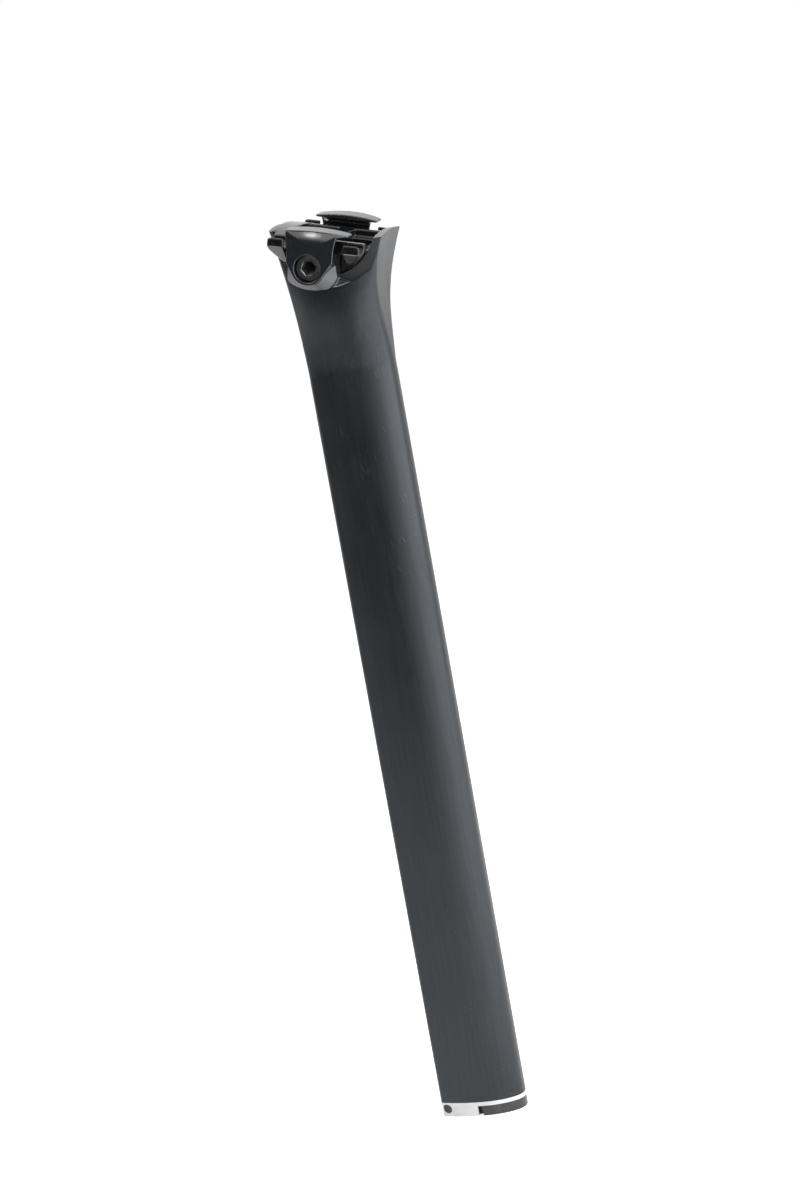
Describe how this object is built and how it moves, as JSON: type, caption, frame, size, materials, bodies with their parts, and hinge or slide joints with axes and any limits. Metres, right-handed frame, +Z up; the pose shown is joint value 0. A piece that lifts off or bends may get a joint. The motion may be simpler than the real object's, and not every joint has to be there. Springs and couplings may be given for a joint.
{
  "type": "bicycle seatpost",
  "caption": "Aero bicycle seatpost: a hollow D-section tube with a flared head, a tilting saddle-rail cradle gripped by side-bolted jaws, and a plugged lower end.",
  "frame": {"origin": "on the tube's axis at the lower end of the tube, where it enters the bicycle frame first", "axes": "+Z up the tube, +X forward, +Y to the bicycle's left, so the bolt's head is on -Y"},
  "size_m": [0.045, 0.0578, 0.3596],
  "materials": {
    "carbon": "satin black carbon laminate under a clear coat",
    "black_alloy": "satin black anodised aluminium",
    "bolt_steel": "black-oxide steel",
    "plug_white": "satin white plastic",
    "band_dark": "satin dark plastic"
  },
  "bodies": {
    "post": {"post": "carbon", "end_plug": "plug_white", "end_band": "band_dark"},
    "cradle": {"cradle": "black_alloy"},
    "right_clamp": {"right_jaw": "black_alloy", "clamp_bolt": "bolt_steel", "bolt_washer": "bolt_steel"},
    "left_clamp": {"left_jaw": "black_alloy", "clamp_nut": "bolt_steel"}
  },
  "joints": [
    {"name": "saddle_tilt", "type": "hinge", "parent": "post", "child": "cradle", "pos_m": [0.0008, 0, 0.353], "axis": [0, 1, 0], "range_deg": [-12, 12]},
    {"name": "right_jaw_open", "type": "slide", "parent": "cradle", "child": "right_clamp", "axis": [0, -1, 0], "range_m": [0, 0.0025]},
    {"name": "left_jaw_open", "type": "slide", "parent": "cradle", "child": "left_clamp", "axis": [0, 1, 0], "range_m": [0, 0.0025]}
  ]
}
